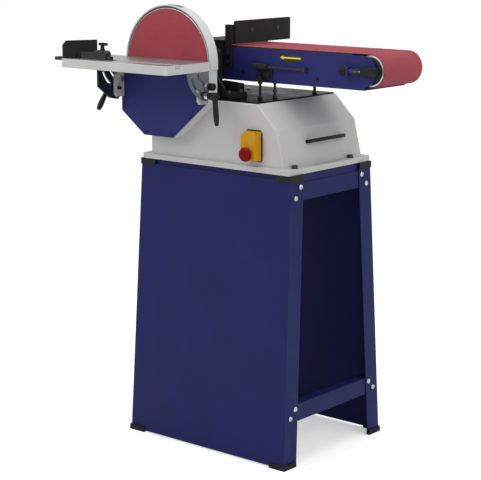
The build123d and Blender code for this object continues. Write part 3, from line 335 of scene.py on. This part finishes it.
def table_top(name):
    """Cast table: ground top with fine marks along X, satin grey paint on rim and underside."""
    s = Shader(name)
    normal, turn = s.edges(radius=0.9)
    up = s.ramp(s.axis(2, s.normal), span=(0.90, 0.985))
    line = s.noise(scale=55, detail=5, rough=0.7, coord=s.scale(s.coord, (1.0, 26, 26)))
    tone = s.times(s.ramp(line, span=(0.3, 0.7), onto=(0.82, 1.12)),
                   s.mottle(scale=11, detail=4, rough=0.6, onto=(0.93, 1.05)))
    ground = s.scale((0.40, 0.40, 0.40), tone)
    paint = s.scale(linear(181, 181, 179), s.mottle(scale=18, detail=4, onto=(0.96, 1.04)))
    # Paler edges on the paint: partly wear, partly a painted highlight
    edge_wear_and_highlight = s.times(s.ramp(turn, span=(0.02, 0.2)),
                   s.mottle(scale=70, detail=3, span=(0.4, 0.65), onto=(0.3, 1)))
    paint = s.mix(s.times(edge_wear_and_highlight, 0.35), paint, (0.62, 0.62, 0.61))
    height = s.add(s.times(s.times(line, up), 0.8), s.times(s.noise(scale=620), 0.5))
    return s.finish(color=s.mix(up, paint, ground), metal=s.times(up, 0.85),
                    rough=s.add(s.times(up, -0.10),
                                s.ramp(line, span=(0.3, 0.7), onto=(0.40, 0.52))),
                    normal=s.bump(height, strength=0.16, distance=0.0002, normal=normal))


def sticker(name, rgb, rough=0.35):
    """Printed vinyl: even colour with a little ink mottle and a slightly wavy film."""
    s = Shader(name)
    return s.finish(color=s.scale(rgb, s.mottle(scale=700, onto=(0.95, 1.04))),
                    rough=s.mottle(scale=90, detail=3, onto=(rough - 0.05, rough + 0.06)),
                    normal=s.bump(s.noise(scale=160), strength=0.05, distance=0.0003),
                    coat=0.25, coat_rough=0.15)


# ------------------------------------------------------------------ materials
TURNED = dict(rgb=(0.76, 0.76, 0.77), rough=0.28, stretch=(14, 1.2, 14), marks=0.22,
              stain=0.08, radius=0.5)
ROLLER_WEB = ((ROLLER_X + SHIFT[0]) * MM, AXIS_Z * MM, ROLLER_WEB_RADIUS)

MATERIALS = {
    "blue_paint": painted(
        "blue_powder_coat", (0.0088, 0.0104, 0.080), rough=0.42,
        edge=linear(78, 82, 134), edge_amount=0.40, radius=0.9),
    # Painted light: a brighter copy of the blue paint, for upper parts that the lamps light more
    "blue_with_painted_light": painted(
        "blue_powder_coat_with_painted_light", (0.0180, 0.0205, 0.117), rough=0.40,
        edge=linear(84, 88, 140), edge_amount=0.40, radius=0.9),
    "grey_paint": painted(
        "grey_powder_coat", linear(175, 175, 174), rough=0.48,
        edge=linear(205, 205, 204), edge_amount=0.45, radius=2.2, peel=0.12, var=0.03),
    "guard_grey": painted(
        "grey_guard_enamel", linear(190, 191, 191), rough=0.40,
        edge=linear(222, 222, 222), edge_amount=0.4, radius=0.9, var=0.03),
    # Grey trunnion paint; left of x = -0.175 m it is darkened as painted shade of the table over
    # the left trunnion
    "trunnion_grey_painted_left_shade": painted(
        "grey_cast_enamel_painted_left_shade", linear(98, 101, 108), rough=0.44, radius=0.9, peel=0.22,
        peel_scale=420, var=0.06, left_painted_shade_rgb=linear(30, 36, 50)),
    "blue_black": painted(
        "blue_black_screw_paint", (0.008, 0.009, 0.030), rough=0.45, radius=0.4),
    "black_gloss": painted(
        "black_gloss_enamel", linear(10, 11, 12), rough=0.36, edge=linear(70, 70, 72),
        peel=0.05, var=0.04, spec=0.07, dust=0.0),
    "black_paint": painted(
        "black_powder_coat", linear(30, 30, 31), rough=0.54, edge=linear(66, 66, 67),
        edge_amount=0.4, peel=0.20, dust_rgb=(0.12, 0.12, 0.12)),
    "black_plastic": plastic("black_grained_plastic", linear(22, 22, 23), rough=0.50),
    "rubber": rubber("black_rubber", linear(28, 28, 28)),
    "zinc": metal(
        "zinc_plate", (0.66, 0.67, 0.69), rough=0.26, stretch=(9, 9, 9), marks=0.15,
        scale=90, stain=0.18, radius=0.3),
    "black_steel": metal(
        "black_oxide_steel", (0.055, 0.055, 0.058), rough=0.40, stretch=(9, 9, 9),
        marks=0.2, scale=70, metallic=0.75, stain=0.2),
    "yellow_plastic": plastic(
        "yellow_switch_plastic", linear(186, 134, 0), rough=0.40, grain=0.08,
        grain_scale=1700, radius=0.7, edge_gain=1.15, var=0.04),
    "red_plastic": plastic(
        "red_switch_plastic", linear(118, 0, 2), rough=0.36, grain=0.05,
        grain_scale=1700, radius=0.7, edge_gain=1.3, spec=0.10, var=0.05),
    "green_plastic": plastic(
        "green_switch_plastic", linear(22, 118, 52), rough=0.34, grain=0.08,
        grain_scale=1700, edge_gain=1.3),
    "aluminium": metal("turned_aluminium", **TURNED),
    "roller": metal("turned_roller", **TURNED, hollow=ROLLER_WEB),
    "table_casting": table_top("ground_cast_table"),
    "steel": metal("machined_steel", (0.55, 0.55, 0.56), rough=0.32, stretch=(10, 1.5, 10)),
    "motor_paint": painted(
        "motor_enamel", linear(98, 99, 102), rough=0.45, peel=0.2, peel_scale=500),
    "belt_rubber": rubber("v_belt_rubber", linear(24, 24, 24)),
    "abrasive": abrasive(
        "aluminium_oxide_disc", linear(148, 58, 68), pale=linear(178, 86, 95)),
}
BELT_OXIDE = abrasive("aluminium_oxide_belt", linear(140, 58, 67), pale=linear(166, 88, 96),
                      run_attribute="run")
BACKING = cloth("abrasive_cloth_backing", linear(112, 66, 66))
LABEL_BLACK = sticker("label_black", linear(22, 22, 23))
LABEL_YELLOW = sticker("label_yellow", linear(222, 206, 38), rough=0.3)
INK = sticker("scale_ink", linear(34, 34, 36), rough=0.5)

# Nodes whose look differs from the material slot on record
SPECIAL_LOOKS = {
    "guard_housing": "guard_grey",
    "table_trunnions": "trunnion_grey_painted_left_shade",
    "cover_screws": "blue_paint",
    "frame_screws": "blue_black",
    # The belt frame and disc cover take the brighter blue copy, which is painted light
    "belt_frame": "blue_with_painted_light",
    "disc_cover": "blue_with_painted_light",
    "idler_roller": "roller",
    "platen": "black_steel",
}


def dress_nodes():
    slot_of = {part["node"]: part["material_slot"] for part in frame["record"]["subparts"]}
    for name, node in frame["nodes"].items():
        material = MATERIALS[SPECIAL_LOOKS.get(name, slot_of[name])]
        if not node.data.materials:
            node.data.materials.append(material)
        for slot in node.material_slots:
            slot.material = material


# ------------------------------------------------------------------ mesh helpers
def link(name, data):
    item = bpy.data.objects.new(name, data)
    bpy.context.scene.collection.objects.link(item)
    return item


def piece(name, shape, materials, material_of=None, shift=SHIFT):
    """Flat-shaded object from (vertices in mm, faces); material_of maps a face to a slot."""
    verts, faces = shape
    mesh = bpy.data.meshes.new(name)
    mesh.from_pydata([tuple((c + d) * MM for c, d in zip(v, shift)) for v in verts], [], faces)
    bm = bmesh.new()
    bm.from_mesh(mesh)
    bmesh.ops.remove_doubles(bm, verts=bm.verts, dist=1e-7)
    bmesh.ops.recalc_face_normals(bm, faces=bm.faces)
    bm.to_mesh(mesh)
    bm.free()
    for material in materials:
        mesh.materials.append(material)
    for face in mesh.polygons:
        if material_of:
            face.material_index = material_of(face)
        face.use_smooth = False
    return link(name, mesh)


def soften(item, width, segments):
    """Bevel modifier; width in mm."""
    bevel = item.modifiers.new("edge", "BEVEL")
    bevel.width = width * MM
    bevel.segments = segments
    bevel.limit_method = "ANGLE"
    bevel.angle_limit = math.radians(35)
    bevel.harden_normals = True


def loop_faces(rows, count, closed=False):
    """Quads between successive closed loops of count points; closed joins last to first."""
    faces = []
    for row in range(rows if closed else rows - 1):
        here, there = row * count, (row + 1) % rows * count
        for i in range(count):
            k = (i + 1) % count
            faces.append([here + i, here + k, there + k, there + i])
    return faces


def prism(outline, low, high, place):
    """Closed prism of a (u, v) outline between heights low and high; place maps (u, v, w)."""
    n = len(outline)
    verts = [place(u, v, w) for w in (low, high) for u, v in outline]
    caps = [list(range(n))[::-1], list(range(n, 2 * n))]
    return verts, caps + loop_faces(2, n)


def rounded(x0, y0, x1, y1, radius, steps=6):
    """Outline of a rectangle with rounded corners."""
    corners = ((x1 - radius, y1 - radius, 0), (x0 + radius, y1 - radius, 90),
               (x0 + radius, y0 + radius, 180), (x1 - radius, y0 + radius, 270))
    outline = []
    for x, y, start in corners:
        for i in range(steps + 1):
            angle = math.radians(start + 90 * i / steps)
            outline.append((x + radius * math.cos(angle), y + radius * math.sin(angle)))
    return outline


def join(shapes):
    all_verts, all_faces = [], []
    for verts, faces in shapes:
        first = len(all_verts)
        all_verts += verts
        all_faces += [[first + i for i in face] for face in faces]
    return all_verts, all_faces


def lathe(profile, steps, place, groove=None):
    """Turned solid from (along, radius) pairs with zero radius at both ends."""
    verts = []
    for along, radius in profile:
        for i in range(steps):
            angle = 2 * math.pi * i / steps
            r = radius * (groove(i, along) if groove else 1.0)
            verts.append(place(along, r * math.cos(angle), r * math.sin(angle)))
    return verts, loop_faces(len(profile), steps)


def lathe_x(profile, y, z, steps, groove):
    """Turned solid about an axis along X through y, z."""
    return lathe(profile, steps, lambda along, u, v: (along, y + u, z + v), groove)


def grooves(low, high, depth):
    """Radius factor that sinks two steps in every four, for low < x < high."""
    return lambda i, x: 1.0 - (depth if low < x < high and i % 4 in (0, 1) else 0.0)


# ------------------------------------------------------------------ abrasives
def sanding_belt():
    """Closed loop around two pulleys, laid out in the row frame."""
    thickness = 1.15
    edge_drop, edge_width = 0.35, 2.0       # roll-off of the outer face towards each edge
    steps_across, straight_steps, turn_steps = 30, 110, 48
    low, high = [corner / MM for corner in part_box("sanding_belt")]
    outer = (high.z - low.z) / 2
    center_z = (high.z + low.z) / 2
    left_x, right_x = low.x + outer, high.x - outer
    straight = right_x - left_x
    turn = math.pi * outer
    total = 2 * straight + 2 * math.pi * outer

    def on_loop(s, radius):
        """x, z at arc length s of the outer loop, at radius from the pulley axis."""
        s %= total
        if s < straight:
            return left_x + s, center_z + radius
        s -= straight
        if s < turn:
            angle = s / outer
            return right_x + radius * math.sin(angle), center_z + radius * math.cos(angle)
        s -= turn
        if s < straight:
            return right_x - s, center_z - radius
        angle = (s - straight) / outer
        return left_x - radius * math.sin(angle), center_z - radius * math.cos(angle)

    stations = []                           # arc lengths
    for length, steps in ((straight, straight_steps), (turn, turn_steps)) * 2:
        base = stations[-1] if stations else 0.0
        stations += [base + length * (i + 1) / steps for i in range(steps)]

    rows = [low.y + (high.y - low.y) * i / steps_across for i in range(steps_across + 1)]
    section = []                            # (y, offset from the outer radius)
    for y in rows:
        near = min(y - low.y, high.y - y)
        section.append((y, -edge_drop * (1 - min(1, near / edge_width)) ** 2))
    section += [(y, -thickness) for y in reversed(rows)]

    verts, run = [], []
    for s in stations:
        for y, offset in section:
            x, z = on_loop(s, outer + offset)
            verts.append((x, y, z))
            run += [s * MM, y * MM, 0.0]
    count = len(section)

    def is_grit(face):
        return face.index % count < steps_across

    belt = piece("abrasive_belt", (verts, loop_faces(len(stations), count, closed=True)),
                 [BELT_OXIDE, BACKING], lambda face: 0 if is_grit(face) else 1, NO_SHIFT)
    belt.data.attributes.new("run", "FLOAT_VECTOR", "POINT").data.foreach_set("vector", run)
    for face in belt.data.polygons:
        face.use_smooth = is_grit(face)
    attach(belt, "belt_arm")
    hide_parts("sanding_belt")


def sanding_disc():
    """Abrasive disc with a rounded front edge, laid out in the row frame."""
    low, high = [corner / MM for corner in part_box("sanding_disc")]
    center_x, center_z = (low.x + high.x) / 2, (low.z + high.z) / 2
    radius = (high.x - low.x) / 2 - 0.9
    front, back = low.y, high.y - 0.01
    # (y, radius) from the centre of the front, over the edge, to the centre of the back
    profile = [(front, radius * part) for part in (0.0, 0.15, 0.3, 0.45, 0.6, 0.75, 0.9, 0.97)]
    profile += [(front, radius - 0.35), (front + 0.12, radius - 0.1), (front + 0.4, radius),
                (front + 0.75, radius), (back, radius), (back, radius * 0.5), (back, 0.0)]
    shape = lathe(profile, 144, lambda y, u, v: (center_x + u, y, center_z + v))
    grit_depth = 0.5
    disc = piece("abrasive_disc", shape, [MATERIALS["abrasive"], BACKING],
                 lambda face: 0 if face.center.y / MM < front + grit_depth else 1, NO_SHIFT)
    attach(disc, "shaft_group")
    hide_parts("sanding_disc")


# ------------------------------------------------------------------ labels
def on_plate(u, v, w):
    return u, PLATE_Y - w, v


def direction_label():
    """Black label with a yellow arrow pointing left, on the belt arm's front plate."""
    outline = rounded(120, 927, 189.5, 941, radius=1.5)
    label = piece("direction_label", prism(outline, 0.0, LABEL_THICKNESS, on_plate),
                  [LABEL_BLACK])
    soften(label, width=0.06, segments=1)
    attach(label, "belt_arm")
    arrow = [(125, 934), (134, 929.4), (134, 932.2), (184, 932.2),      # x, z
             (184, 935.8), (134, 935.8), (134, 938.6)]
    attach(piece("direction_arrow", prism(arrow, 0.20, 0.34, on_plate), [LABEL_YELLOW]),
            "belt_arm")


def guard_dark_patch():
    """Curved black patch on top of the round guard."""
    start, end, steps = 74, 96, 28          # degrees from +X towards +Z
    low_y, high_y = -171, -157
    section = ((low_y, 0.0), (high_y, 0.0), (high_y, LABEL_THICKNESS), (low_y, LABEL_THICKNESS))
    verts = []
    for i in range(steps + 1):
        angle = math.radians(start + (end - start) * i / steps)
        for y, height in section:
            radius = GUARD_RADIUS + height
            verts.append((GUARD_X + radius * math.cos(angle), y,
                          AXIS_Z + radius * math.sin(angle)))
    caps = [[3, 2, 1, 0], [steps * 4 + j for j in range(4)]]
    shape = (verts, loop_faces(steps + 1, 4) + caps)
    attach(piece("guard_dark_patch", shape, [LABEL_BLACK]), "stand")


# ------------------------------------------------------------------ knobs, switch and scale
def tracking_knob():
    """Fluted knob on the left end of its steel screw."""
    profile = [                             # x, radius
        (306.0, 0.0), (306.0, 8.2), (306.3, 9.2), (307.0, 9.9), (307.4, 11.0),
        (320.4, 11.0), (320.9, 9.9), (321.5, 9.2), (321.8, 8.2),
        (321.8, 3.0), (367.4, 3.0), (368.0, 2.4), (368.0, 0.0)]
    screw_x = 323.2                         # faces right of this are steel
    shape = lathe_x(profile, y=-76.0, z=915.0, steps=96, groove=grooves(307.2, 320.6, 0.09))
    knob = piece("tracking_knob_fluted", shape,
                 [MATERIALS["black_plastic"], MATERIALS["steel"]],
                 lambda face: 1 if face.center.x / MM - SHIFT[0] > screw_x else 0)
    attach(knob, "steering_knob")
    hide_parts("tracking_knob")


def guide_cap():
    """Knurled cap on the right guide bolt, on an arc about the table's tilt centre."""
    arc_radius, angle = 48.0, math.radians(68)
    profile = [                             # x, radius
        (23.1, 0.0), (23.1, 6.6), (24.4, 7.4), (24.8, 8.6), (38.2, 8.6),
        (38.6, 7.4), (39.4, 6.2), (39.8, 3.6), (39.3, 0.0)]
    shape = lathe_x(profile, y=PIVOT_Y - arc_radius * math.cos(angle),
                    z=PIVOT_Z - arc_radius * math.sin(angle),
                    steps=80, groove=grooves(24.6, 38.4, 0.07))
    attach(piece("guide_cap", shape, [MATERIALS["black_plastic"]]), "stand")


def switch_base():
    """Dark mounting plate with cut corners behind the switch."""
    outline = [(98.0, 703.2), (140.0, 703.2), (144.0, 707.2), (144.0, 769.0),   # x, z
               (138.0, 776.0), (100.0, 776.0), (94.0, 769.0), (94.0, 707.2)]
    shape = prism(outline, 0.0, 1.7, lambda u, v, w: (u, SWITCH_WALL_Y - w, v))
    base = piece("switch_base", shape, [MATERIALS["black_plastic"]])
    soften(base, width=0.4, segments=2)
    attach(base, "stand")


def tilt_scale():
    """Angle scale printed on the right trunnion; every third tick is long."""
    outer, half_width = 79.0, 0.28
    long_tick, short_tick = 5.2, 3.0
    first_angle, pitch, count = 12.0, 3.2, 19
    face_x, ink_thickness = 16.0, 0.04
    top_z = 903.5                           # ticks reaching this height are left out
    ticks = []
    for k in range(count):
        angle = math.radians(first_angle + pitch * k)
        inner = outer - (long_tick if k % 3 == 0 else short_tick)
        cos, sin = math.cos(angle), math.sin(angle)
        corners = ((inner, half_width), (inner, -half_width),
                   (outer, -half_width), (outer, half_width))
        quad = [(PIVOT_Y - r * cos - h * sin, PIVOT_Z - r * sin + h * cos) for r, h in corners]
        if max(z for y, z in quad) < top_z:
            ticks.append(prism(quad, face_x, face_x + ink_thickness,
                               lambda u, v, w: (w, u, v)))
    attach(piece("tilt_scale", join(ticks), [INK]), "table")


# ------------------------------------------------------------------ stage, light, camera
def pale_floor():
    """White floor that glows a little to the camera only."""
    half = 60.0                             # metres
    mesh = bpy.data.meshes.new("floor")
    corners = [(-half, -half, 0), (half, -half, 0), (half, half, 0), (-half, half, 0)]
    mesh.from_pydata(corners, [], [(0, 1, 2, 3)])
    s = Shader("pale_floor")
    glow = s.times(s.node("LightPath").outputs["Is Camera Ray"], 0.42)
    mesh.materials.append(s.finish(color=(0.80, 0.80, 0.80), rough=0.8, spec=0.0,
                                   glow=(1.0, 1.0, 1.0), glow_strength=glow))
    link("floor", mesh)


def studio_world():
    world = bpy.data.worlds.new("studio")
    bpy.context.scene.world = world
    world.use_nodes = True
    color, strength = world.node_tree.nodes["Background"].inputs[:2]
    color.default_value = (1, 1, 1, 1)
    strength.default_value = 0.75


def area_light(name, location, target, size, power):
    light = bpy.data.lights.new(name, "AREA")
    light.shape = "RECTANGLE"
    light.size, light.size_y = size
    light.energy = power
    lamp = link(name, light)
    lamp.location = location
    aim = Vector(target) - Vector(location)
    lamp.rotation_euler = aim.to_track_quat("-Z", "Y").to_euler()


def camera():
    data = bpy.data.cameras.new("camera")
    data.lens = 115.232183
    data.sensor_width = 36.0
    data.clip_end = 200
    item = link("camera", data)
    item.location = (2.31363 + SHIFT[0] * MM, -2.83241 + SHIFT[1] * MM, 1.23715)
    item.rotation_mode = "QUATERNION"
    forward = Vector((-0.62687, 0.75237, -0.20243))
    item.rotation_quaternion = forward.to_track_quat("-Z", "Y")
    scene = bpy.context.scene
    scene.camera = item
    scene.view_settings.view_transform = "Standard"
    scene.view_settings.look = "None"


dress_nodes()
sanding_belt()
sanding_disc()
direction_label()
guard_dark_patch()
tracking_knob()
guide_cap()
switch_base()
tilt_scale()
pale_floor()
studio_world()
area_light("key", location=(-1.6, -3.2, 3.2), target=(0, 0, 0.7), size=(2.2, 2.2), power=55)
area_light("side", location=(3.4, -0.6, 2.2), target=(0, 0, 0.6), size=(1.8, 2.2), power=30)
area_light("top", location=(0.2, 0.2, 3.4), target=(0, 0, 0.6), size=(2.4, 2.4), power=35)
camera()
